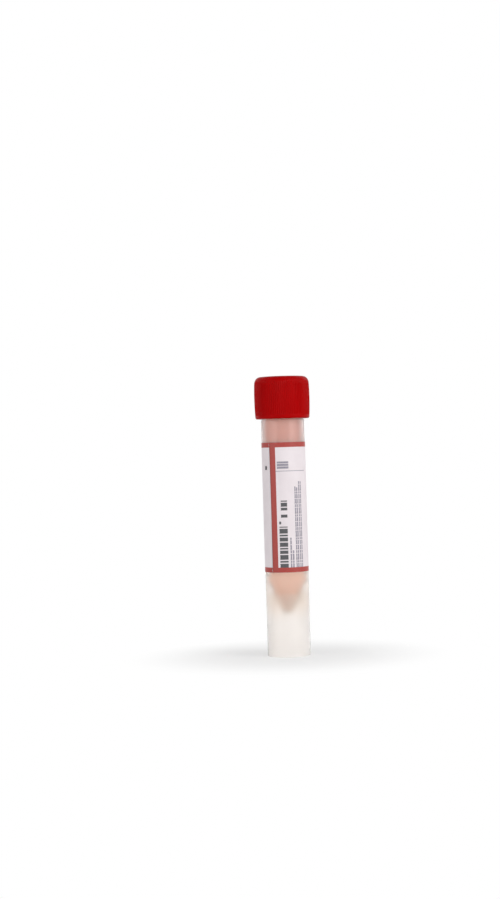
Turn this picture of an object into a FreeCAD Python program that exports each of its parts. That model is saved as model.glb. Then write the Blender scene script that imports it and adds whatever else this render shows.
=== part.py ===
"""Specimen swab tube: a self-standing, skirted transport tube with a red screw cap.

The tube is one moulding: a cylindrical body, a conical bottom that hangs inside an open skirt, and a
stepped neck with a helical thread. The cap is one moulding with fine grip ribs, a plug seal that enters
the bore and a small funnel that catches the end of a swab stick. A paper label is wrapped once round the
body and overlaps itself at a seam, and carries a red printed border. Inside are the liquid transport
medium and three glass beads that help to shake a specimen off its swab.

Frame: +Z runs up the axis of the tube, the origin is the centre of the skirt's foot, and -Y faces the
viewer of the label's printed panel. Millimetres and degrees.
"""
import FreeCAD, Part

import math
import os

from FreeCAD import Vector

# Overall
overall_height = 100.0  # foot of the skirt to the top of the closed cap
fit_gap = 0.02  # air left between pieces that lie against each other
tolerance = 1e-6

# Tube body
body_diameter = 15.4
body_wall = 1.2
skirt_wall = 1.2
foot_round = 0.45  # rounding of the skirt's outer edge
foot_chamfer = 0.3  # chamfer of the skirt's inner edge
cone_tip_height = 16.0  # inside bottom of the cone above the foot
cone_tip_radius = 1.8
cone_half_angle = 27.0
cone_wall = 1.1

# Neck and its thread
neck_wall = 0.85
lip_round = 0.25
shoulder_round = 0.15
shoulder_gap = 0.4  # how far the body's shoulder lies below the cap's rim
thread_pitch = 2.5
thread_turns = 2.0
thread_height = 1.0
thread_root_width = 1.5
thread_crest_width = 0.6
thread_above_shoulder = 3.6  # shoulder to the middle of the thread's start
thread_sink = 0.2  # how far the ridge is sunk into the neck that it is part of

# Cap
cap_height = 15.1
cap_wall = 1.45  # bore to the crest of the ribs, where the cap is widest
cap_top_thickness = 1.5
cap_bulge = 0.25  # how far the middle of the side stands out past its ends
cap_top_round = 2.0
cap_rim_round = 0.6
cap_thread_clearance = 0.12
cap_band_height = 1.2  # plain band below the ribs
rib_count = 90
rib_depth = 0.15
rib_sink = 0.5  # how far the ribs are sunk into the shell that they are part of
rib_top_inset = 1.6  # ribs end this far below the cap's top
rib_crest_share = 0.42  # share of the rib pitch taken by the flat crest
rib_root_share = 0.30  # share of the rib pitch taken by the flat root
gate_radius = 1.1
gate_depth = 0.25

# Plug seal and stick funnel under the cap's top
plug_clearance = 0.08
plug_wall = 0.8
plug_length = 3.6
plug_lead_in = 0.35  # how much narrower the plug's end is
plug_lead_in_height = 0.7
funnel_outer_radius = 3.0
funnel_mouth_radius = 2.3
funnel_throat_radius = 1.25
funnel_length = 6.2
funnel_taper_length = 3.0
funnel_rim_round = 0.2

# Label and its printed border
label_bottom = 30.25
label_height = 46.25
label_thickness = 0.1
label_seam_angle = -131.75  # outer edge of the wrap, measured from +X
label_overlap_angle = 18.0
label_step_angle = 6.0  # arc over which the sheet steps down past its own end
print_thickness = 0.03
border_width = 1.75
seam_line_width = 2.35
seam_line_margin = 0.2
border_gap_angle = 0.5  # between the two ends of a printed band

# Contents
medium_height = 29.3  # inside bottom of the cone to the middle of the liquid's surface
meniscus_rise = 0.5
bead_radius = 1.5
bead_turn = 38.0  # direction of the upper pair of beads, from +X

# Worked out from the driving sizes
body_radius = body_diameter / 2
bore_radius = body_radius - body_wall
skirt_inner_radius = body_radius - skirt_wall
cap_rim = overall_height - cap_height
shoulder = cap_rim - shoulder_gap
ceiling = overall_height - cap_top_thickness
lip = ceiling - fit_gap
neck_radius = bore_radius + neck_wall
thread_crest_radius = neck_radius + thread_height
cap_bore_radius = thread_crest_radius + cap_thread_clearance
cap_radius = cap_bore_radius + cap_wall
label_radius = body_radius + fit_gap
label_top = label_bottom + label_height
slope = math.radians(cone_half_angle)
cone_apex = cone_tip_height - cone_tip_radius * (1 / math.sin(slope) - 1)


def point(radius, height):
    """A point of a profile in the XZ plane."""
    return Vector(radius, 0, height)


def turned(edges):
    """The solid made by turning a closed profile once round the axis."""
    face = Part.Face(Part.Wire(Part.__sortEdges__(edges)))
    return face.revolve(Vector(0, 0, 0), Vector(0, 0, 1), 360)


def rounded_profile(corners):
    """Edges of a closed outline through (radius, height, rounding) corners, rounded by tangent arcs."""
    edges = []
    ends = []
    count = len(corners)
    for i, (radius, height, rounding) in enumerate(corners):
        corner = point(radius, height)
        before = (point(*corners[i - 1][:2]) - corner).normalize()
        after = (point(*corners[(i + 1) % count][:2]) - corner).normalize()
        if rounding <= 0:
            ends.append((corner, corner))
            continue
        half = before.getAngle(after) / 2
        reach = rounding / math.tan(half)
        middle = corner + (before + after).normalize() * (rounding / math.sin(half) - rounding)
        start = corner + before * reach
        end = corner + after * reach
        edges.append(Part.Arc(start, middle, end).toShape())
        ends.append((start, end))
    for i in range(count):
        start = ends[i][1]
        end = ends[(i + 1) % count][0]
        if start.distanceToPoint(end) > tolerance:
            edges.append(Part.LineSegment(start, end).toShape())
    return edges


def ring(inner, outer, low, high):
    """A plain ring, or a disc if inner is 0."""
    solid = Part.makeCylinder(outer, high - low, point(0, low))
    if inner > 0:
        solid = solid.cut(Part.makeCylinder(inner, high - low, point(0, low)))
    return solid


def cone_ended_plug(radius, offset, top_edges, top_at_wall):
    """A round plug with the cone's slope and rounded tip at its lower end.

    offset moves the cone outwards from the inside of the tube, top_at_wall is the height at which the
    plug's side ends, and top_edges(side, axis) closes the profile from there to the axis."""
    round_radius = cone_tip_radius + offset
    centre = cone_tip_height + cone_tip_radius
    tip = point(0, centre - round_radius)
    lean = (math.pi / 2 - slope) / 2
    middle = point(round_radius * math.sin(lean), centre - round_radius * math.cos(lean))
    tangent = point(round_radius * math.cos(slope), centre - round_radius * math.sin(slope))
    cone_top = tangent.z + (radius - tangent.x) / math.tan(slope)
    shoulder_point = point(radius, cone_top)
    side = point(radius, top_at_wall)
    edges = [
        Part.Arc(tip, middle, tangent).toShape(),
        Part.LineSegment(tangent, shoulder_point).toShape(),
        Part.LineSegment(shoulder_point, side).toShape(),
    ]
    return turned(edges + top_edges(side, tip))


def flat_top(side, tip):
    """Closes a plug's profile with a flat top."""
    on_axis = point(0, side.z)
    return [
        Part.LineSegment(side, on_axis).toShape(),
        Part.LineSegment(on_axis, tip).toShape(),
    ]


def meniscus_top(side, tip):
    """Closes the liquid's profile with a shallow dished surface, part of a sphere centred on the axis."""
    low = point(0, side.z - meniscus_rise)
    sphere_radius = (side.x**2 + meniscus_rise**2) / (2 * meniscus_rise)
    lean = math.asin(side.x / sphere_radius) / 2
    halfway = low + point(math.sin(lean), 1 - math.cos(lean)) * sphere_radius
    return [
        Part.Arc(side, halfway, low).toShape(),
        Part.LineSegment(low, tip).toShape(),
    ]


def helical_thread():
    """The neck's single-start ridge, sunk a little into the neck so that the two fuse."""
    start = shoulder + thread_above_shoulder
    flank = (thread_root_width - thread_crest_width) / 2 / thread_height
    root = thread_root_width / 2 + thread_sink * flank
    crest = thread_crest_width / 2
    inner = neck_radius - thread_sink
    outline = [
        point(inner, start - root),
        point(thread_crest_radius, start - crest),
        point(thread_crest_radius, start + crest),
        point(inner, start + root),
    ]
    section = Part.Wire(Part.makePolygon(outline + outline[:1]).Edges)
    spine = Part.Wire(Part.makeHelix(thread_pitch, thread_pitch * thread_turns, neck_radius).Edges)
    spine.translate(point(0, start))
    return spine.makePipeShell([section], True, True)


def make_tube():
    """Body, skirt, conical bottom and threaded neck, in one moulding."""
    outside = turned(
        rounded_profile(
            [
                (0, 0, 0),
                (body_radius, 0, foot_round),
                (body_radius, shoulder, shoulder_round),
                (neck_radius, shoulder, 0),
                (neck_radius, lip, lip_round),
                (0, lip, 0),
            ]
        )
    )
    bore = cone_ended_plug(bore_radius, 0, flat_top, lip)
    hollow = turned(
        rounded_profile(
            [
                (0, 0, 0),
                (skirt_inner_radius + foot_chamfer, 0, 0),
                (skirt_inner_radius, foot_chamfer, 0),
                (skirt_inner_radius, shoulder, 0),
                (0, shoulder, 0),
            ]
        )
    )
    cone = cone_ended_plug(body_radius, cone_wall, flat_top, overall_height)
    tube = outside.fuse(helical_thread()).cut(bore).cut(hollow.cut(cone))
    return tube.removeSplitter()


def cap_outline(radius):
    """The cap's outside as a solid of the given greatest radius: a slight barrel with rounded edges."""
    low = point(radius - cap_bulge, cap_rim)
    high = point(radius - cap_bulge, overall_height)
    middle = point(radius, (cap_rim + overall_height) / 2)
    solid = turned(
        [
            Part.LineSegment(point(0, cap_rim), low).toShape(),
            Part.Arc(low, middle, high).toShape(),
            Part.LineSegment(high, point(0, overall_height)).toShape(),
            Part.LineSegment(point(0, overall_height), point(0, cap_rim)).toShape(),
        ]
    )
    for height, rounding in ((overall_height, cap_top_round), (cap_rim, cap_rim_round)):
        corner = point(radius - cap_bulge, height)
        rims = [e for e in solid.Edges if e.Closed and e.Vertexes[0].Point.isEqual(corner, tolerance)]
        solid = solid.makeFillet(rounding, rims)
    return solid


def grip_ribs():
    """A ring of fine upright ribs, standing out past the cap's outline, which trims them."""
    pitch = 2 * math.pi / rib_count
    inner = cap_radius - cap_bulge - rib_depth - rib_sink
    crest = cap_radius + rib_depth
    root = cap_radius - rib_depth
    drop = (1 - rib_crest_share - rib_root_share) / 2
    corners = []
    for i in range(rib_count):
        for share, radius in (
            (-rib_crest_share / 2 - drop, root),
            (-rib_crest_share / 2, crest),
            (rib_crest_share / 2, crest),
            (rib_crest_share / 2 + drop, root),
        ):
            angle = (i + share) * pitch
            corners.append(Vector(radius * math.cos(angle), radius * math.sin(angle), 0))
    low = cap_rim + cap_band_height
    high = overall_height - rib_top_inset
    prism = Part.Face(Part.makePolygon(corners + corners[:1])).extrude(Vector(0, 0, high - low))
    prism.translate(Vector(0, 0, low))
    return prism.cut(ring(0, inner, low, high))


def stick_funnel():
    """The short blind funnel that catches the broken end of a swab's stick."""
    low = ceiling - funnel_length
    return turned(
        rounded_profile(
            [
                (funnel_mouth_radius, low, 0),
                (funnel_outer_radius, low, funnel_rim_round),
                (funnel_outer_radius, ceiling, 0),
                (funnel_throat_radius, ceiling, 0),
                (funnel_throat_radius, low + funnel_taper_length, 0),
            ]
        )
    )


def plug_seal():
    """The ring that enters the bore and seals against it."""
    outer = bore_radius - plug_clearance
    inner = outer - plug_wall
    low = ceiling - plug_length
    return turned(
        rounded_profile(
            [
                (inner, low, 0),
                (outer - plug_lead_in, low, 0),
                (outer, low + plug_lead_in_height, 0),
                (outer, ceiling, 0),
                (inner, ceiling, 0),
            ]
        )
    )


def make_cap():
    """Ribbed shell, plug seal and stick funnel, in one moulding."""
    envelope = cap_outline(cap_radius)
    shell = cap_outline(cap_radius - rib_depth)
    band = ring(cap_bore_radius, cap_radius + rib_depth, cap_rim, cap_rim + cap_band_height)
    shell = shell.fuse([grip_ribs().common(envelope), band.common(envelope)])
    shell = shell.cut(ring(0, cap_bore_radius, cap_rim, ceiling))
    shell = shell.cut(ring(0, gate_radius, overall_height - gate_depth, overall_height))
    return shell.fuse([plug_seal(), stick_funnel()]).removeSplitter()


def wrap_radius(angle, lift):
    """Radius of the wrapped sheet's inner face, lift above it, at an angle counted on from the seam."""
    over = label_thickness + fit_gap
    past = angle - label_seam_angle - label_overlap_angle
    step = min(max(1 - past / label_step_angle, 0), 1)
    return label_radius + lift + over * step


def on_wrap(angle, lift):
    """A point on the wrap, lift above the sheet's inner face."""
    radius = wrap_radius(angle, lift)
    return Vector(radius * math.cos(math.radians(angle)), radius * math.sin(math.radians(angle)), 0)


def wrap_edges(start, end, lift):
    """The path of the sheet in plan from start to end: arcs, and a short ramp where it steps down."""
    ramp_start = label_seam_angle + label_overlap_angle
    ramp = [ramp_start, ramp_start + label_step_angle]
    stops = [start] + [a for a in ramp if start < a < end] + [end]
    edges = []
    for a, b in zip(stops, stops[1:]):
        if abs(wrap_radius(a, lift) - wrap_radius(b, lift)) > tolerance:
            edges.append(Part.LineSegment(on_wrap(a, lift), on_wrap(b, lift)).toShape())
            continue
        halves = ((a, (a + b) / 2), ((a + b) / 2, b))
        for p, q in halves:
            arc = Part.Arc(on_wrap(p, lift), on_wrap((p + q) / 2, lift), on_wrap(q, lift))
            edges.append(arc.toShape())
    return edges


def wrapped_sheet(start, end, low, high, lift, thickness):
    """A sheet that follows the label's wrap between two angles and two heights."""
    inside = wrap_edges(start, end, lift)
    outside = wrap_edges(start, end, lift + thickness)
    closing = [
        Part.LineSegment(on_wrap(a, lift), on_wrap(a, lift + thickness)).toShape() for a in (start, end)
    ]
    outline = Part.Wire(Part.__sortEdges__(inside + outside + closing))
    sheet = Part.Face(outline).extrude(Vector(0, 0, high - low))
    sheet.translate(Vector(0, 0, low))
    return sheet


def make_label():
    """One sheet wrapped round the body, its outer end lapping over its inner end at the seam."""
    end = label_seam_angle + 360 + label_overlap_angle - label_step_angle / 2
    return wrapped_sheet(label_seam_angle, end, label_bottom, label_top, 0, label_thickness)


def make_label_border():
    """The red printed border: a line round each end of the label and one along the seam."""
    start = label_seam_angle
    end = start + 360 - border_gap_angle
    per_mm = math.degrees(1 / (label_radius + label_thickness))
    line_start = start + seam_line_margin * per_mm
    line_end = line_start + seam_line_width * per_mm
    bands = [
        wrapped_sheet(start, end, low, low + border_width, label_thickness, print_thickness)
        for low in (label_bottom, label_top - border_width)
    ]
    line = wrapped_sheet(line_start, line_end, label_bottom, label_top, label_thickness, print_thickness)
    return bands[0].fuse([bands[1], line]).removeSplitter()


def bead_centres():
    """One bead lies in the tip of the cone, and two lie above it side by side, against the cone's wall."""
    clear_radius = bead_radius + fit_gap
    lower = point(0, cone_tip_height + clear_radius)
    side = bead_radius + fit_gap / 2
    on_cone = cone_apex + (side + clear_radius / math.cos(slope)) / math.tan(slope)
    on_bead = lower.z + math.sqrt((bead_radius + clear_radius) ** 2 - side**2)
    turn = math.radians(bead_turn)
    across = Vector(math.cos(turn), math.sin(turn), 0) * side
    upper = point(0, max(on_cone, on_bead))
    return [lower, upper + across, upper - across]


def make_beads():
    """The three loose glass beads."""
    return [Part.makeSphere(bead_radius, centre) for centre in bead_centres()]


def make_medium():
    """The liquid, filling the cone and the lower bore round the beads."""
    top_at_wall = cone_tip_height + medium_height + meniscus_rise
    liquid = cone_ended_plug(bore_radius - fit_gap, -fit_gap, meniscus_top, top_at_wall)
    for centre in bead_centres():
        liquid = liquid.cut(Part.makeSphere(bead_radius + fit_gap, centre))
    return liquid


def build():
    """Every piece by name."""
    pieces = {
        "tube": make_tube(),
        "screw_cap": make_cap(),
        "label": make_label(),
        "label_border": make_label_border(),
        "transport_medium": make_medium(),
    }
    for number, bead in enumerate(make_beads(), 1):
        pieces[f"glass_bead_{number}"] = bead
    return pieces


os.makedirs("parts", exist_ok=True)
for name, shape in build().items():
    shape.exportStep(f"parts/{name}.step")
    print(f"{name}: {len(shape.Solids)} solid, {shape.Volume:.1f} mm3, valid {shape.isValid()}")
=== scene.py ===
"""The looks of the specimen swab tube.

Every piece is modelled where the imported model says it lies, in metres: the tube's translucent moulding,
its ribbed cap, the wrapped paper label with its print, and the liquid and beads inside.
"""
from math import asin, atan2, ceil, cos, hypot, pi, radians, sin, sqrt, tan

import bmesh
import bpy
from mathutils import Matrix, Vector


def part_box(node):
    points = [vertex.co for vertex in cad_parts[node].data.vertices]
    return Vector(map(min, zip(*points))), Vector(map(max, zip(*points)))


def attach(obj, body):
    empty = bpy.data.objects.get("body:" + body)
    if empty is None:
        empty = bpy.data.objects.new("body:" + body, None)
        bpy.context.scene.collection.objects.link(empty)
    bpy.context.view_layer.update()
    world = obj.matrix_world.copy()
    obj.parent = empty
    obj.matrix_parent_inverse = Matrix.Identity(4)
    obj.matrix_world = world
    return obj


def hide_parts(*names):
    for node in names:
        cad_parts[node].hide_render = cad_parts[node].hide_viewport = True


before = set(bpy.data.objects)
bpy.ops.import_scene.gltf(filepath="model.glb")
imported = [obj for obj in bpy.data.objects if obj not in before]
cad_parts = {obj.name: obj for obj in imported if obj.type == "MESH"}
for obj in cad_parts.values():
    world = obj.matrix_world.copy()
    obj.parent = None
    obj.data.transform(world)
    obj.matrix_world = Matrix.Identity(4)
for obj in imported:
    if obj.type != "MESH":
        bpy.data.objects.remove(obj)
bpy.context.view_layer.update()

MM = 0.001
merge_distance = 0.0005 * MM
row_grid = 0.01 * MM  # heights closer than this belong to one row of vertices

# Heights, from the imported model
cap_low, cap_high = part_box("screw_cap")
label_low, label_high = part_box("label")
tube_low, tube_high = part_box("tube")
cap_rim = cap_low[2]
cap_top = cap_high[2]
foot = tube_low[2]
lip = tube_high[2]
label_bottom = label_low[2]
label_top = label_high[2]
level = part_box("transport_medium")[1][2]  # of the liquid, at the wall

# Tube
body_radius = 7.7 * MM
bore_radius = 6.5 * MM
neck_radius = 7.35 * MM
skirt_inner_radius = 6.5 * MM
shoulder = cap_rim - 0.4 * MM
shoulder_round = 0.15 * MM
lip_outer_round = 0.25 * MM
lip_inner_round = 0.2 * MM
foot_outer_round = 0.45 * MM
foot_inner_round = 0.3 * MM
cone_tip_height = 16.0 * MM
cone_tip_radius = 1.8 * MM
cone_half_angle = radians(27)
cone_wall = 1.1 * MM
cone_root_round = 0.5 * MM  # between the cone's outside and the skirt
bore_end_round = 2.0 * MM  # between the bore and the cone's inside

# Threads
thread_pitch = 2.5 * MM
thread_turns = 2
thread_start = shoulder + 3.6 * MM
thread_fade = radians(40)  # angle over which a ridge runs out at each end
thread_sink = 0.15 * MM  # how far a ridge is sunk into the wall that it is part of
neck_ridge_crest = 8.35 * MM  # radius
neck_ridge_widths = (1.6 * MM, 0.6 * MM)  # at the root and at the crest
cap_ridge_height = 0.7 * MM
cap_ridge_widths = (1.3 * MM, 0.45 * MM)
cap_ridge_drop = 0.95 * MM  # how far the cap's ridge lies below the neck's

# Cap
cap_radius = 9.92 * MM
cap_bulge = 0.25 * MM
cap_bore_radius = 8.47 * MM
cap_top_round = 2.0 * MM
cap_rim_round = 0.6 * MM
cap_mouth_round = 0.25 * MM
ceiling = cap_top - 1.5 * MM
ceiling_round = 0.15 * MM
band_top = cap_rim + 1.2 * MM  # top of the plain band below the ribs
band_slope = 0.2 * MM  # height over which the band's top slopes in to the ribs' root
band_round = 0.08 * MM
gate_radius = 1.1 * MM
gate_depth = 0.25 * MM
gate_slope = 0.12 * MM  # how much wider the gate mark is at its top
gate_round = 0.1 * MM
rib_count = 90
rib_depth = 0.15 * MM
rib_columns = (1, 1, 0.5, 0, 0, 0.5)  # how far each column of a rib's pitch stands out
rib_low = band_top + 0.15 * MM
rib_high = cap_top - 1.3 * MM
rib_fade = 0.9 * MM  # height over which the ribs run out at the top
side_low = band_top + 0.22 * MM  # where the straight rows of the ribbed side begin
side_inside = cap_bore_radius + 0.4 * MM  # a radius between the cap's bore and its side

# Plug seal and stick funnel
plug_radius = bore_radius - 0.08 * MM
plug_wall = 0.8 * MM
plug_length = 3.6 * MM
plug_lead_in = 0.35 * MM
plug_lead_in_height = 0.7 * MM
plug_side_round = 0.5 * MM
plug_end_round = 0.12 * MM
plug_root_round = 0.3 * MM
funnel_radius = 3.0 * MM
funnel_mouth_radius = 2.3 * MM
funnel_throat_radius = 1.25 * MM
funnel_length = 6.2 * MM
funnel_taper_length = 3.0 * MM
funnel_outer_round = 0.2 * MM
funnel_mouth_round = 0.15 * MM
funnel_throat_round = 0.6 * MM
funnel_top_round = 0.2 * MM

# Label
label_radius = 7.72 * MM
label_thickness = 0.1 * MM
label_lap = 0.12 * MM  # step over the label's own end
seam_angle = radians(-131.75)
overlap_angle = radians(18)
step_angle = radians(6)
sheet_grid = radians(1.5)  # widest step of a wrapped sheet
band_width = 1.75 * MM
band_margin = 0.03 * MM  # paper left beyond a band
band_start_gap = radians(0.1)  # seam to the band's ends
band_end_gap = radians(0.2)
seam_line_width = 2.35 * MM
seam_line_margin = 0.2 * MM
ink_lift = 0.012 * MM
ink_thickness = 0.008 * MM

# Medium
medium_gap = 0.02 * MM  # air left between the liquid and the wall
meniscus_rise = 0.5 * MM
film_top = 91 * MM  # how far up the wall is wet
film_thickness = 0.06 * MM
film_edge = 0.5 * MM  # height over which the film thins out
film_foot = level + 0.1 * MM  # where the film's inner face meets the liquid


def deselect():
    """Leaves edit mode with nothing selected."""
    if bpy.context.object and bpy.context.object.mode == "EDIT":
        bpy.ops.object.mode_set(mode="OBJECT")
    bpy.ops.object.select_all(action="DESELECT")


def edit(piece):
    """Opens a piece for editing, with all of it selected."""
    deselect()
    bpy.context.view_layer.objects.active = piece
    piece.select_set(True)
    bpy.ops.object.mode_set(mode="EDIT")
    bpy.ops.mesh.select_all(action="SELECT")


def rounded(corners, segments=5):
    """Points along (radius, height, rounding) corners, with a tangent arc for each rounded one."""
    points = []
    for i, (radius, height, rounding) in enumerate(corners):
        here = Vector((radius, height))
        if rounding <= 0:
            points.append(here)
            continue
        before = (Vector(corners[i - 1][:2]) - here).normalized()
        after = (Vector(corners[i + 1][:2]) - here).normalized()
        half = before.angle(after) / 2
        centre = here + (before + after).normalized() * rounding / sin(half)
        start = here + before * rounding / tan(half) - centre
        turn = start.angle_signed(here + after * rounding / tan(half) - centre)
        for k in range(segments + 1):
            points.append(centre + Matrix.Rotation(-turn * k / segments, 2) @ start)
    return points


def arc(centre, radius, start, end, segments):
    """Points of an arc about (radius, height) centre, between two angles from straight down."""
    angles = [start + (end - start) * k / segments for k in range(segments + 1)]
    return [Vector((centre[0] + radius * sin(a), centre[1] - radius * cos(a))) for a in angles]


def draw(name, points, angle=0):
    """A new piece: a line of edges through (radius, height) points, on the half plane at an angle."""
    deselect()
    bpy.ops.mesh.primitive_plane_add(size=MM, location=(0, 0, 0))
    piece = bpy.context.object
    piece.name = piece.data.name = name
    edit(piece)
    bpy.ops.mesh.merge(type="CENTER")
    outward = Vector((cos(angle), sin(angle), 0))
    places = [outward * p[0] + Vector((0, 0, p[1])) for p in points]
    bpy.ops.transform.translate(value=places[0])
    for here, there in zip(places, places[1:]):
        bpy.ops.mesh.extrude_region_move(TRANSFORM_OT_translate={"value": there - here})
    bpy.ops.mesh.select_all(action="SELECT")
    return piece


def finish_mesh(piece, smooth=radians(35)):
    """Merges doubles, points the faces outwards and shades the piece smooth up to an angle."""
    edit(piece)
    bpy.ops.mesh.remove_doubles(threshold=merge_distance)
    bpy.ops.mesh.normals_make_consistent(inside=False)
    bpy.ops.object.mode_set(mode="OBJECT")
    bpy.ops.object.shade_smooth_by_angle(angle=smooth)
    return piece


def turned(name, points, steps):
    """A closed piece made by spinning an outline, whose ends lie on the axis, once round."""
    piece = draw(name, points)
    bpy.ops.mesh.spin(steps=steps, angle=2 * pi, center=(0, 0, 0), axis=(0, 0, 1))
    return finish_mesh(piece)


def apply_modifiers(piece):
    """Applies every modifier of a piece, in order."""
    deselect()
    bpy.context.view_layer.objects.active = piece
    piece.select_set(True)
    for modifier in list(piece.modifiers):
        bpy.ops.object.modifier_apply(modifier=modifier.name)


def unite(piece, other):
    """Adds another closed piece to a piece, as one solid."""
    union = piece.modifiers.new("union", "BOOLEAN")
    union.operation = "UNION"
    union.solver = "EXACT"
    union.object = other
    apply_modifiers(piece)
    bpy.data.objects.remove(other)


def join(piece, others):
    """Joins other pieces into one."""
    deselect()
    for other in others:
        other.select_set(True)
    piece.select_set(True)
    bpy.context.view_layer.objects.active = piece
    bpy.ops.object.join()


def fit_out(piece, body, slot, material, *nodes):
    """Gives a piece its finish and its body, and hides the nodes that it stands for."""
    piece.data.materials.clear()
    piece.data.materials.append(material)
    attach(piece, body)
    if nodes:
        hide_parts(*nodes)


# ---------------------------------------------------------------- materials


def node(tree, kind, inputs=None, **settings):
    """A node with its settings and its inputs, each a value or a socket to link from."""
    made = tree.nodes.new(kind)
    for key, value in settings.items():
        setattr(made, key, value)
    for key, value in (inputs or {}).items():
        if isinstance(value, bpy.types.NodeSocket):
            tree.links.new(value, made.inputs[key])
        else:
            made.inputs[key].default_value = value
    return made


def new_group(name, inputs, outputs):
    """An empty node group with its sockets, and its input and output nodes."""
    group = bpy.data.node_groups.new(name, "ShaderNodeTree")
    for socket_name, kind, value in inputs:
        made = group.interface.new_socket(name=socket_name, in_out="INPUT", socket_type=kind)
        made.default_value = value
    for socket_name, kind in outputs:
        group.interface.new_socket(name=socket_name, in_out="OUTPUT", socket_type=kind)
    return group, group.nodes.new("NodeGroupInput"), group.nodes.new("NodeGroupOutput")


def times_per_metre(tree, size_mm):
    """A noise's scale, from the size of its grain in millimetres."""
    return node(tree, "ShaderNodeMath", {0: 1 / MM, 1: size_mm}, operation="DIVIDE").outputs[0]


def mottle_group():
    """Soft patches in a moulding or a print: a mask, and a colour shifted between two tones."""
    group, given, out = new_group(
        "soft_mottle",
        [
            ("Tone A", "NodeSocketColor", (0.5, 0.5, 0.5, 1)),
            ("Tone B", "NodeSocketColor", (0.6, 0.6, 0.6, 1)),
            ("Patch size mm", "NodeSocketFloat", 4.0),
            ("Stretch", "NodeSocketFloat", 1.0),
        ],
        [("Color", "NodeSocketColor"), ("Mask", "NodeSocketFloat")],
    )
    place = node(group, "ShaderNodeTexCoord")
    squeeze = node(group, "ShaderNodeCombineXYZ", {"X": 1.0, "Y": 1.0, "Z": given.outputs["Stretch"]})
    stretched = node(
        group,
        "ShaderNodeVectorMath",
        {0: place.outputs["Object"], 1: squeeze.outputs[0]},
        operation="MULTIPLY",
    )
    scale = times_per_metre(group, given.outputs["Patch size mm"])
    noise = node(
        group,
        "ShaderNodeTexNoise",
        {"Vector": stretched.outputs[0], "Scale": scale, "Detail": 3.0, "Roughness": 0.55},
    )
    mask = node(
        group, "ShaderNodeMapRange", {"Value": noise.outputs[0], "From Min": 0.3, "From Max": 0.7}
    )
    mix = node(
        group,
        "ShaderNodeMix",
        {0: mask.outputs[0], 6: given.outputs["Tone A"], 7: given.outputs["Tone B"]},
        data_type="RGBA",
    )
    group.links.new(mix.outputs[2], out.inputs["Color"])
    group.links.new(mask.outputs[0], out.inputs["Mask"])
    return group


def handling_group():
    """Faint scuffs and hairlines from handling: a roughness, and a height for bump."""
    group, given, out = new_group(
        "handling_marks",
        [
            ("Smooth", "NodeSocketFloat", 0.3),
            ("Scuffed", "NodeSocketFloat", 0.5),
            ("Grain size mm", "NodeSocketFloat", 0.12),
            ("Line size mm", "NodeSocketFloat", 2.0),
        ],
        [("Roughness", "NodeSocketFloat"), ("Height", "NodeSocketFloat")],
    )
    place = node(group, "ShaderNodeTexCoord")
    grain_scale = times_per_metre(group, given.outputs["Grain size mm"])
    line_scale = times_per_metre(group, given.outputs["Line size mm"])
    grain = node(
        group,
        "ShaderNodeTexNoise",
        {"Vector": place.outputs["Object"], "Scale": grain_scale, "Detail": 2.0},
    )
    lean = node(
        group,
        "ShaderNodeMapping",
        {"Vector": place.outputs["Object"], "Rotation": (0.5, 0.3, 0.2), "Scale": (1, 1, 0.08)},
    )
    hair = node(
        group,
        "ShaderNodeTexNoise",
        {"Vector": lean.outputs[0], "Scale": line_scale, "Detail": 6.0, "Roughness": 0.75},
    )
    hair_mask = node(
        group, "ShaderNodeMapRange", {"Value": hair.outputs[0], "From Min": 0.56, "From Max": 0.72}
    )
    rough = node(
        group,
        "ShaderNodeMapRange",
        {
            "Value": hair_mask.outputs[0],
            "To Min": given.outputs["Smooth"],
            "To Max": given.outputs["Scuffed"],
        },
    )
    height = node(
        group,
        "ShaderNodeMath",
        {0: hair_mask.outputs[0], 1: -0.4, 2: grain.outputs[0]},
        operation="MULTIPLY_ADD",
    )
    group.links.new(rough.outputs[0], out.inputs["Roughness"])
    group.links.new(height.outputs[0], out.inputs["Height"])
    return group


def paper_group():
    """Paper fibres: a soft colour shift between two whites, and a height for bump."""
    group, given, out = new_group(
        "paper_fibre",
        [
            ("Fibre light", "NodeSocketColor", (0.9, 0.9, 0.9, 1)),
            ("Fibre dark", "NodeSocketColor", (0.8, 0.8, 0.8, 1)),
            ("Fibre size mm", "NodeSocketFloat", 0.25),
        ],
        [("Color", "NodeSocketColor"), ("Height", "NodeSocketFloat")],
    )
    place = node(group, "ShaderNodeTexCoord")
    scale = times_per_metre(group, given.outputs["Fibre size mm"])
    fibre = node(
        group,
        "ShaderNodeTexNoise",
        {
            "Vector": place.outputs["Object"],
            "Scale": scale,
            "Detail": 4.0,
            "Roughness": 0.6,
            "Distortion": 1.5,
        },
    )
    cloud_scale = 0.18 / MM
    cloud = node(
        group,
        "ShaderNodeTexNoise",
        {"Vector": place.outputs["Object"], "Scale": cloud_scale, "Detail": 2.0},
    )
    both = node(
        group, "ShaderNodeMath", {0: fibre.outputs[0], 1: cloud.outputs[0]}, operation="MULTIPLY"
    )
    mask = node(
        group, "ShaderNodeMapRange", {"Value": both.outputs[0], "From Min": 0.12, "From Max": 0.4}
    )
    mix = node(
        group,
        "ShaderNodeMix",
        {0: mask.outputs[0], 6: given.outputs["Fibre dark"], 7: given.outputs["Fibre light"]},
        data_type="RGBA",
    )
    group.links.new(mix.outputs[2], out.inputs["Color"])
    group.links.new(fibre.outputs[0], out.inputs["Height"])
    return group


mottle = mottle_group()
handling = handling_group()
paper_fibre = paper_group()


def place_group(tree, group, **values):
    """A node group in a material, with its own values; a name's underscores stand for spaces."""
    placed = tree.nodes.new("ShaderNodeGroup")
    placed.node_tree = group
    for name, value in values.items():
        placed.inputs[name.replace("_", " ")].default_value = value
    return placed


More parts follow.
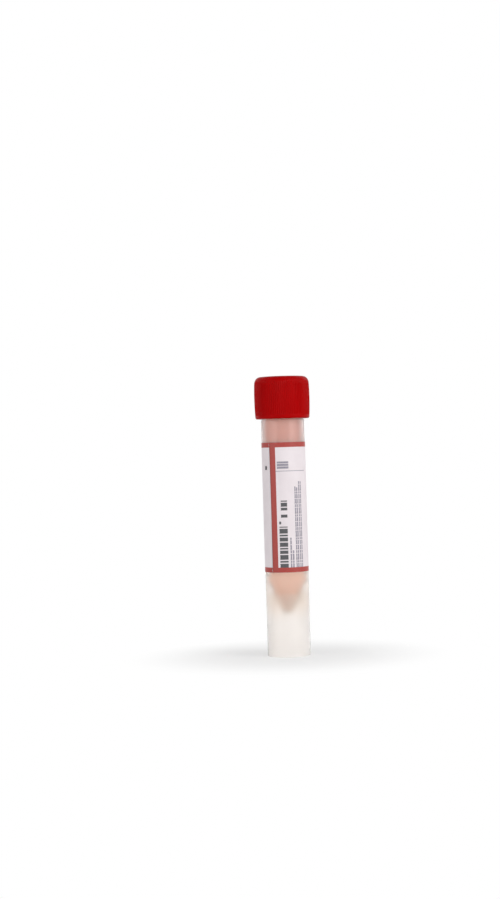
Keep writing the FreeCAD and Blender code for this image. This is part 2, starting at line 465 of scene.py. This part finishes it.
def new_material(name, **values):
    """A material with a Principled shader whose plain values are set on its own sockets."""
    material = bpy.data.materials.new(name)
    material.use_nodes = True
    tree = material.node_tree
    shader = tree.nodes["Principled BSDF"]
    for key, value in values.items():
        shader.inputs[key.replace("_", " ")].default_value = value
    return material, tree, shader


def bump(tree, shader, height, distance_mm):
    """Feeds a height to a shader's normal."""
    made = node(tree, "ShaderNodeBump", {"Height": height, "Distance": distance_mm * MM})
    tree.links.new(made.outputs[0], shader.inputs["Normal"])


def height_tones(tree, stops):
    """A colour that changes smoothly up the object, through (height in mm, colour) stops."""
    place = node(tree, "ShaderNodeTexCoord")
    split = node(tree, "ShaderNodeSeparateXYZ", {0: place.outputs["Object"]})
    share = node(tree, "ShaderNodeMath", {0: split.outputs["Z"], 1: cap_top}, operation="DIVIDE")
    ramp = node(tree, "ShaderNodeValToRGB", {0: share.outputs[0]})
    ramp.color_ramp.interpolation = "EASE"
    elements = ramp.color_ramp.elements
    elements.remove(elements[1])
    for i, (height, tone) in enumerate(stops):
        element = elements[0] if i == 0 else elements.new(height * MM / cap_top)
        element.position = height * MM / cap_top
        element.color = (*tone, 1)
    return ramp.outputs["Color"]


def tube_plastic():
    """Natural polypropylene: milky and translucent, with a painted warm glow of the liquid round the cone
    and painted shade from the cap, pink with the liquid's glow, on the neck.
    """
    material, tree, shader = new_material(
        "milky_polypropylene",
        IOR=1.15,
        Transmission_Weight=0.84,
        Coat_Weight=0.5,
        Coat_Roughness=0.25,
    )
    own_tone = (0.975, 0.95, 0.93)
    # painted glow: the liquid's warm colour painted into the wall round the cone, in place of light
    # scattered from it
    painted_liquid_glow = (0.985, 0.92, 0.865)
    # painted shade: the neck darkened as in the cap's shadow and tinted pink as if lit by the liquid
    # inside
    painted_neck_shade_and_glow = (0.925, 0.80, 0.775)
    tone = height_tones(
        tree,
        (
            (12, own_tone),
            (20, painted_liquid_glow),
            (60, painted_liquid_glow),
            (75, painted_neck_shade_and_glow),
            (89, painted_neck_shade_and_glow),
            (92, own_tone),
        ),
    )
    clouds = place_group(
        tree,
        mottle,
        Tone_A=(0.98, 0.975, 0.97, 1),
        Tone_B=(1, 1, 1, 1),
        Patch_size_mm=5.0,
        Stretch=0.35,
    )
    both = node(
        tree,
        "ShaderNodeMix",
        {0: 1.0, 6: tone, 7: clouds.outputs["Color"]},
        data_type="RGBA",
        blend_type="MULTIPLY",
    )
    marks = place_group(tree, handling, Smooth=0.5, Scuffed=0.62, Grain_size_mm=0.3, Line_size_mm=1.6)
    tree.links.new(both.outputs[2], shader.inputs["Base Color"])
    tree.links.new(marks.outputs["Roughness"], shader.inputs["Roughness"])
    bump(tree, shader, marks.outputs["Height"], 0.01)
    return material


def cap_plastic():
    """Red moulded polyethylene, satin."""
    material, tree, shader = new_material("red_polyethylene", IOR=1.5, Specular_IOR_Level=0.04)
    clouds = place_group(
        tree,
        mottle,
        Tone_A=(0.36, 0.0004, 0.0008, 1),
        Tone_B=(0.43, 0.0006, 0.0012, 1),
        Patch_size_mm=6.0,
        Stretch=0.5,
    )
    marks = place_group(tree, handling, Smooth=0.36, Scuffed=0.5, Grain_size_mm=0.1, Line_size_mm=1.2)
    tree.links.new(clouds.outputs["Color"], shader.inputs["Base Color"])
    tree.links.new(marks.outputs["Roughness"], shader.inputs["Roughness"])
    bump(tree, shader, marks.outputs["Height"], 0.012)
    return material


def label_paper():
    """White coated label paper."""
    material, tree, shader = new_material("coated_label_paper", Roughness=0.55, Specular_IOR_Level=0.35)
    fibre = place_group(
        tree,
        paper_fibre,
        Fibre_light=(0.86, 0.79, 0.815, 1),
        Fibre_dark=(0.80, 0.73, 0.755, 1),
        Fibre_size_mm=0.22,
    )
    tree.links.new(fibre.outputs["Color"], shader.inputs["Base Color"])
    bump(tree, shader, fibre.outputs["Height"], 0.008)
    return material


def printed_ink(name, tone_a, tone_b):
    """Ink on the label: slightly uneven, with the paper's fibres under it."""
    material, tree, shader = new_material(name, Roughness=0.5, Specular_IOR_Level=0.4)
    clouds = place_group(tree, mottle, Tone_A=tone_a, Tone_B=tone_b, Patch_size_mm=0.35, Stretch=1.0)
    fibre = place_group(tree, paper_fibre, Fibre_size_mm=0.22)
    tree.links.new(clouds.outputs["Color"], shader.inputs["Base Color"])
    bump(tree, shader, fibre.outputs["Height"], 0.006)
    return material


def medium_liquid():
    """The orange-pink transport medium, with a little haze from its gelatin."""
    material, tree, shader = new_material(
        "orange_pink_medium", Roughness=0.08, IOR=1.1, Transmission_Weight=0.8, Specular_IOR_Level=0.5
    )
    clouds = place_group(
        tree,
        mottle,
        Tone_A=(0.975, 0.58, 0.43, 1),
        Tone_B=(0.98, 0.63, 0.48, 1),
        Patch_size_mm=7.0,
        Stretch=0.4,
    )
    tree.links.new(clouds.outputs["Color"], shader.inputs["Base Color"])
    return material


def bead_glass():
    """Clear soda glass, with a faint green cast that varies over each bead."""
    material, tree, shader = new_material(
        "clear_bead_glass", Roughness=0.03, IOR=1.13, Transmission_Weight=1.0
    )
    clouds = place_group(
        tree,
        mottle,
        Tone_A=(0.93, 0.97, 0.95, 1),
        Tone_B=(0.97, 0.99, 0.98, 1),
        Patch_size_mm=1.5,
        Stretch=1.0,
    )
    tree.links.new(clouds.outputs["Color"], shader.inputs["Base Color"])
    return material


tube_finish = tube_plastic()
cap_finish = cap_plastic()
paper_finish = label_paper()
red_ink = printed_ink("brick_red_ink", (0.38, 0.05, 0.042, 1), (0.43, 0.066, 0.054, 1))
black_ink = printed_ink("soft_black_ink", (0.07, 0.07, 0.075, 1), (0.12, 0.118, 0.125, 1))
grey_ink = printed_ink("fine_grey_ink", (0.26, 0.245, 0.29, 1), (0.36, 0.335, 0.40, 1))
medium_finish = medium_liquid()
bead_finish = bead_glass()


# ---------------------------------------------------------------- tube


def cone_arc(offset):
    """The rounded tip of the cone, moved outwards by offset, from the axis to where the cone starts."""
    centre = (0, cone_tip_height + cone_tip_radius)
    return arc(centre, cone_tip_radius + offset, 0, pi / 2 - cone_half_angle, segments=8)


def cone_height(radius, offset):
    """The height at which the cone, moved outwards by offset, reaches a radius."""
    tangent = cone_arc(offset)[-1]
    return tangent[1] + (radius - tangent[0]) / tan(cone_half_angle)


def thread_ridge(name, root_radius, crest_radius, start, widths):
    """A closed helical ridge that fades into its wall at each end."""
    root_width, crest_width = widths
    section = [
        (root_radius, start - root_width / 2),
        (crest_radius, start - crest_width / 2),
        (crest_radius, start + crest_width / 2),
        (root_radius, start + root_width / 2),
    ]
    ridge = draw(name, section)
    bpy.ops.mesh.edge_face_add()
    bpy.ops.object.mode_set(mode="OBJECT")
    steps = 96
    screw = ridge.modifiers.new("turns", "SCREW")
    screw.angle = 2 * pi
    screw.screw_offset = thread_pitch
    screw.iterations = thread_turns
    screw.steps = screw.render_steps = steps
    screw.use_merge_vertices = False
    apply_modifiers(ridge)
    edit(ridge)
    bpy.ops.mesh.fill_holes(sides=len(section))
    bpy.ops.mesh.select_all(action="SELECT")
    bpy.ops.mesh.normals_make_consistent(inside=False)
    bpy.ops.object.mode_set(mode="OBJECT")
    height = crest_radius - root_radius
    for vertex in ridge.data.vertices:
        here = vertex.co
        reach = hypot(here.x, here.y)
        if (reach - root_radius) / height < 0.5:  # on the root
            continue
        turn = atan2(here.y, here.x) % (2 * pi)
        gone = 2 * pi * round((here.z - start) / thread_pitch - turn / (2 * pi)) + turn
        left = 2 * pi * thread_turns - gone
        share = sqrt(min(1, max(0, gone / thread_fade), max(0, left / thread_fade)))
        wanted = root_radius + height * share
        vertex.co = Vector((here.x * wanted / reach, here.y * wanted / reach, here.z))
    return ridge


def make_tube():
    """Body, skirt, conical bottom and threaded neck."""
    outline = cone_arc(cone_wall)
    outline += rounded(
        [
            (*outline[-1], 0),
            (skirt_inner_radius, cone_height(skirt_inner_radius, cone_wall), cone_root_round),
            (skirt_inner_radius, foot, foot_inner_round),
            (body_radius, foot, foot_outer_round),
            (body_radius, shoulder, shoulder_round),
            (neck_radius, shoulder, 0),
            (neck_radius, lip, lip_outer_round),
            (bore_radius, lip, lip_inner_round),
            (bore_radius, cone_height(bore_radius, 0), bore_end_round),
            (*cone_arc(0)[-1], 0),
        ]
    )[1:-1]
    outline += list(reversed(cone_arc(0)))
    tube = turned("tube_moulding", outline, steps=160)
    root = neck_radius - thread_sink
    thread = thread_ridge("neck_thread", root, neck_ridge_crest, thread_start, neck_ridge_widths)
    unite(tube, thread)
    finish_mesh(tube)
    fit_out(tube, "tube_body", "tube_plastic", tube_finish, "tube")


# ---------------------------------------------------------------- cap


def cap_side(height, inset=0.0):
    """The radius of the cap's barrelled side at a height."""
    middle = (cap_rim + cap_top) / 2
    half = (cap_top - cap_rim) / 2
    return cap_radius - inset - cap_bulge * ((height - middle) / half) ** 2


def cap_outline():
    """From the gate mark on top, down the side, under the rim, up the bore and to the funnel's top."""
    turn_height = cap_top - cap_top_round
    rows = 12
    side = [side_low + (turn_height - side_low) * k / rows for k in range(rows + 1)]
    top_centre = (cap_side(turn_height, rib_depth) - cap_top_round, turn_height)
    plug_end = ceiling - plug_length
    plug_inner_radius = plug_radius - plug_wall
    funnel_end = ceiling - funnel_length
    points = rounded(
        [
            (0, cap_top - gate_depth, 0),
            (gate_radius, cap_top - gate_depth, gate_round),
            (gate_radius + gate_slope, cap_top, gate_round),
            (top_centre[0], cap_top, 0),
        ],
        segments=3,
    )
    points += arc(top_centre, cap_top_round, pi, pi / 2, segments=12)[1:-1]
    points += [Vector((cap_side(z, rib_depth), z)) for z in reversed(side)]
    points += rounded(
        [
            (cap_side(band_top, rib_depth), band_top + band_slope, 0),
            (cap_side(band_top), band_top, band_round),
            (cap_side(cap_rim), cap_rim, cap_rim_round),
            (cap_bore_radius, cap_rim, cap_mouth_round),
            (cap_bore_radius, ceiling, ceiling_round),
            (plug_radius, ceiling, ceiling_round),
            (plug_radius, plug_end + plug_lead_in_height, plug_side_round),
            (plug_radius - plug_lead_in, plug_end, plug_end_round),
            (plug_inner_radius, plug_end, plug_end_round),
            (plug_inner_radius, ceiling, plug_root_round),
            (funnel_radius, ceiling, plug_root_round),
            (funnel_radius, funnel_end, funnel_outer_round),
            (funnel_mouth_radius, funnel_end, funnel_mouth_round),
            (funnel_throat_radius, funnel_end + funnel_taper_length, funnel_throat_round),
            (funnel_throat_radius, ceiling, funnel_top_round),
            (0, ceiling, 0),
        ],
        segments=4,
    )[1:]
    return points


def raise_ribs(cap):
    """Stands the crest columns of the cap's side out to form the grip ribs."""
    columns = len(rib_columns)
    column_angle = 2 * pi / (rib_count * columns)
    edit(cap)
    bpy.ops.mesh.select_all(action="DESELECT")
    mesh = bmesh.from_edit_mesh(cap.data)
    for share in sorted(set(rib_columns) - {0}):
        wanted = [k for k, s in enumerate(rib_columns) if s == share]
        rows = {}
        for vertex in mesh.verts:
            x, y, z = vertex.co
            on_side = rib_low < z < rib_high and hypot(x, y) > side_inside
            column = round(atan2(y, x) / column_angle) % columns
            if on_side and column in wanted:
                rows.setdefault(round(z / row_grid), []).append(vertex)
        for row in rows.values():
            for vertex in row:
                vertex.select = True
            reach = hypot(row[0].co.x, row[0].co.y)
            fade = min(1, (rib_high - row[0].co.z) / rib_fade)
            grow = 1 + rib_depth * share * fade / reach
            bpy.ops.transform.resize(value=(grow, grow, 1), center_override=(0, 0, 0))
            for vertex in row:
                vertex.select = False
    bmesh.update_edit_mesh(cap.data)
    bpy.ops.object.mode_set(mode="OBJECT")


def make_cap():
    """Ribbed shell with its plug seal, stick funnel and inner thread."""
    cap = turned("screw_cap_moulding", cap_outline(), steps=rib_count * len(rib_columns))
    raise_ribs(cap)
    root = cap_bore_radius + thread_sink
    crest = cap_bore_radius - cap_ridge_height
    thread = thread_ridge("cap_thread", root, crest, thread_start - cap_ridge_drop, cap_ridge_widths)
    unite(cap, thread)
    finish_mesh(cap, smooth=radians(28))
    fit_out(cap, "cap", "cap_plastic", cap_finish, "screw_cap")


# ---------------------------------------------------------------- label and print


def wrap_radius(angle):
    """The radius of the label's inner face at an angle counted on from its outer end."""
    past = (angle - seam_angle - overlap_angle) / step_angle
    return label_radius + label_lap * min(max(1 - past, 0), 1)


def wrapped(name, start, end, heights, lift, thickness):
    """A sheet that follows the label's wrap between two angles, lift above the label's inner face."""
    steps = max(2, ceil((end - start) / sheet_grid))
    points = [(label_radius, z) for z in heights]
    sheet = draw(name, points, start)
    bpy.ops.mesh.spin(
        steps=steps, angle=end - start, center=(0, 0, 0), axis=(0, 0, 1), use_auto_merge=False
    )
    bpy.ops.object.mode_set(mode="OBJECT")
    for i, vertex in enumerate(sheet.data.vertices):
        angle = start + (end - start) * (i // len(points)) / steps
        reach = wrap_radius(angle) + lift
        vertex.co = Vector((reach * cos(angle), reach * sin(angle), vertex.co.z))
    edit(sheet)
    bpy.ops.mesh.normals_make_consistent(inside=False)
    bpy.ops.object.mode_set(mode="OBJECT")
    middle = sheet.data.polygons[len(sheet.data.polygons) // 2]
    if middle.normal.dot(Vector((middle.center.x, middle.center.y, 0))) < 0:
        edit(sheet)
        bpy.ops.mesh.flip_normals()
        bpy.ops.object.mode_set(mode="OBJECT")
    solid = sheet.modifiers.new("thickness", "SOLIDIFY")
    solid.thickness = thickness
    solid.offset = -1
    apply_modifiers(sheet)
    bpy.ops.object.shade_smooth_by_angle(angle=radians(40))
    return sheet


def make_label():
    """The paper, once round and over its own end."""
    rows = 22
    heights = [label_bottom + (label_top - label_bottom) * k / rows for k in range(rows + 1)]
    end = seam_angle + 2 * pi + overlap_angle - step_angle / 2
    label = wrapped("paper_label", seam_angle, end, heights, label_thickness, label_thickness)
    fit_out(label, "tube_body", "label_paper", paper_finish, "label")


def printed(name, start, end, low, high):
    """A patch of print on the label, between two angles and two heights."""
    return wrapped(name, start, end, [low, high], label_thickness + ink_lift, ink_thickness)


def make_border():
    """The red frame: a band round each end and a line along the seam."""
    outer = label_radius + label_thickness
    start = seam_angle + band_start_gap
    end = seam_angle + 2 * pi - band_end_gap
    line_start = seam_angle + seam_line_margin / outer
    line_end = line_start + seam_line_width / outer
    low = label_bottom + band_margin
    high = label_top - band_margin
    border = printed("label_border_print", start, end, low, low + band_width)
    top = printed("top_band", start, end, high - band_width, high)
    line = printed("seam_line", line_start, line_end, low + band_width, high - band_width)
    join(border, [top, line])
    fit_out(border, "tube_body", "label_ink", red_ink, "label_border")


def across(offset_mm):
    """The angle of a place on the label that lies offset_mm to the right of its middle, seen from -Y."""
    return asin(offset_mm * MM / (label_radius + label_thickness)) - pi / 2


def word_bars(name, left_mm, right_mm, low_mm, high_mm, words, space_mm):
    """A line of plain bars up the label, with the lengths of words, between two offsets and heights."""
    shortest_mm = 0.15
    bars = []
    place = low_mm
    count = 0
    while place < high_mm - shortest_mm:
        length = min(words[count % len(words)], high_mm - place)
        stops = (place * MM, (place + length) * MM)
        bars.append(printed(name, across(left_mm), across(right_mm), *stops))
        place += length + space_mm
        count += 1
    return bars


def make_marks():
    """Plain bars in place of a label's heading and small print."""
    dark = []
    for left, right, low, high, words, space in (  # all in millimetres
        (-2.4, 0.55, 32.0, 46.55, (1.4, 0.6, 1.7, 1.15, 0.55, 1.5), 0.4),
        (-2.4, -1.7, 47.4, 48.35, (0.95,), 0.3),
        (-1.7, 0.6, 49.75, 50.8, (1.05,), 0.3),
        (-1.7, 0.6, 52.3, 55.8, (0.95, 1.4, 0.65), 0.37),
        (-6.65, -6.1, 66.8, 68.15, (1.35,), 0.3),
    ):
        dark += word_bars("heading", left, right, low, high, words, space)
    fine = []
    line_words = (1.4, 0.75, 2.2, 0.95, 1.7)
    for left, right, low, high in (
        (1.3, 1.85, 32.05, 42.55),
        (2.1, 2.65, 32.05, 38.1),
        (3.3, 3.75, 32.05, 60.65),
        (3.9, 4.4, 32.05, 60.3),
        (4.7, 5.1, 32.05, 62.65),
        (5.3, 5.65, 32.05, 62.4),
    ):
        fine += word_bars("small_print", left, right, low, high, line_words, space_mm=0.23)
    for low, high in ((67.1, 67.85), (68.05, 68.8), (69.0, 69.65)):
        fine.append(printed("field_name", across(-2.65), across(1.45), low * MM, high * MM))
    fine.append(printed("field_rule", across(-3.3), across(7.0), 66.15 * MM, 66.35 * MM))
    for bars, piece_name, ink in (
        (dark, "heading_blocks", black_ink),
        (fine, "small_print_bars", grey_ink),
    ):
        join(bars[0], bars[1:])
        bars[0].name = bars[0].data.name = piece_name
        fit_out(bars[0], "tube_body", "label_ink", ink)


# ---------------------------------------------------------------- contents


def make_medium():
    """The liquid, with its dished surface, and the wet film that it leaves on the wall above."""
    side = bore_radius - medium_gap
    dish_radius = (side**2 + meniscus_rise**2) / (2 * meniscus_rise)
    dish_centre = (0, level - meniscus_rise + dish_radius)
    surface = arc(dish_centre, dish_radius, 0, asin(side / dish_radius), segments=10)[:-1]
    outline = cone_arc(-medium_gap)
    outline += rounded(
        [
            (*outline[-1], 0),
            (side, cone_height(side, -medium_gap), bore_end_round),
            (side, film_top, 0),
            (side - film_thickness, film_top - film_edge, 0),
            (side - film_thickness, film_foot, 0),
        ]
    )[1:]
    outline += reversed(surface)
    liquid = turned("transport_liquid", outline, steps=96)
    fit_out(liquid, "tube_body", "medium", medium_finish, "transport_medium")


def make_beads():
    """The three loose beads."""
    for number in (1, 2, 3):
        name = f"glass_bead_{number}"
        low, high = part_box(name)
        deselect()
        radius = (high[0] - low[0]) / 2
        bpy.ops.mesh.primitive_ico_sphere_add(subdivisions=4, radius=radius, location=(0, 0, 0))
        bead = bpy.context.object
        bead.name = bead.data.name = f"loose_{name}"
        edit(bead)
        bpy.ops.transform.translate(value=(Vector(low) + Vector(high)) / 2)
        finish_mesh(bead)
        fit_out(bead, "tube_body", "bead_glass", bead_finish, name)


# ---------------------------------------------------------------- studio


def seen_rays(tree):
    """1 for the rays that show the surroundings: straight, in a reflection or through the tube."""
    path = node(tree, "ShaderNodeLightPath")
    seen = path.outputs["Is Camera Ray"]
    for name in ("Is Glossy Ray", "Is Transmission Ray"):
        either = node(tree, "ShaderNodeMath", {0: seen, 1: path.outputs[name]}, operation="MAXIMUM")
        seen = either.outputs[0]
    return seen


def make_stage():
    """A pale floor that keeps the object's shadow close by and runs out to white."""
    shaded_radius = 12 * MM
    white_radius = 60 * MM
    deselect()
    bpy.ops.mesh.primitive_plane_add(size=12, location=(0, 0, 0))
    floor = bpy.context.object
    floor.name = floor.data.name = "studio_floor"
    material, tree, shader = new_material(
        "studio_white", Base_Color=(0.88, 0.88, 0.88, 1), Roughness=0.9, Specular_IOR_Level=0.1
    )
    place = node(tree, "ShaderNodeTexCoord")
    reach = node(tree, "ShaderNodeVectorMath", {0: place.outputs["Object"]}, operation="LENGTH")
    near = node(
        tree,
        "ShaderNodeMapRange",
        {
            "Value": reach.outputs["Value"],
            "From Min": shaded_radius,
            "From Max": white_radius,
            "To Min": 0.5,
            "To Max": 1.0,
        },
        interpolation_type="SMOOTHSTEP",
    )
    share = node(tree, "ShaderNodeMath", {0: near.outputs[0], 1: seen_rays(tree)}, operation="MULTIPLY")
    white = node(tree, "ShaderNodeEmission", {"Color": (1, 1, 1, 1), "Strength": 1.0})
    mix = node(
        tree, "ShaderNodeMixShader", {0: share.outputs[0], 1: shader.outputs[0], 2: white.outputs[0]}
    )
    tree.links.new(mix.outputs[0], tree.nodes["Material Output"].inputs["Surface"])
    floor.data.materials.append(material)


def make_world():
    """Soft light from all round, and white wherever the surroundings are seen."""
    world = bpy.data.worlds.new("studio_world")
    bpy.context.scene.world = world
    world.use_nodes = True
    tree = world.node_tree
    background = tree.nodes["Background"]
    light_strength = 0.4
    strength = node(
        tree, "ShaderNodeMapRange", {"Value": seen_rays(tree), "To Min": light_strength, "To Max": 1.0}
    )
    background.inputs["Color"].default_value = (1, 1, 1, 1)
    tree.links.new(strength.outputs[0], background.inputs["Strength"])


def add_lamp(name, place, size, watts):
    """A square soft lamp that faces the middle of the object."""
    deselect()
    bpy.ops.object.light_add(type="AREA", location=place)
    lamp = bpy.context.object
    lamp.name = lamp.data.name = name
    lamp.data.size = size
    lamp.data.energy = watts
    aim = Vector((0, 0, cap_top / 2)) - Vector(place)
    lamp.rotation_euler = aim.to_track_quat("-Z", "Y").to_euler()


def make_camera():
    """A long lens, level with the upper part of the tube, that leans a little to one side."""
    distance = 0.635
    view_height = 322.45337 * MM  # what the camera takes in at the tube's distance
    lean = radians(1.7)
    height = 74.23 * MM
    aside = -11.96 * MM
    data = bpy.data.cameras.new("camera")
    data.sensor_width = 36
    data.lens = data.sensor_width * distance / view_height
    data.clip_start = 0.01
    camera = bpy.data.objects.new("camera", data)
    bpy.context.collection.objects.link(camera)
    right = Vector((cos(lean), 0, -sin(lean)))
    up = Vector((sin(lean), 0, cos(lean)))
    back = Vector((0, -1, 0))
    turn = Matrix((right, up, back)).transposed().to_4x4()
    camera.matrix_world = Matrix.Translation((aside, -distance, height)) @ turn
    bpy.context.scene.camera = camera


bpy.context.scene.view_settings.view_transform = "Standard"
make_camera()
make_world()
make_stage()
add_lamp("key_softbox", place=(0.42, -0.36, 0.3), size=0.35, watts=1.95)
add_lamp("fill_softbox", place=(-0.5, -0.36, 0.25), size=0.45, watts=1.2)
make_tube()
make_cap()
make_label()
make_border()
make_marks()
make_medium()
make_beads()
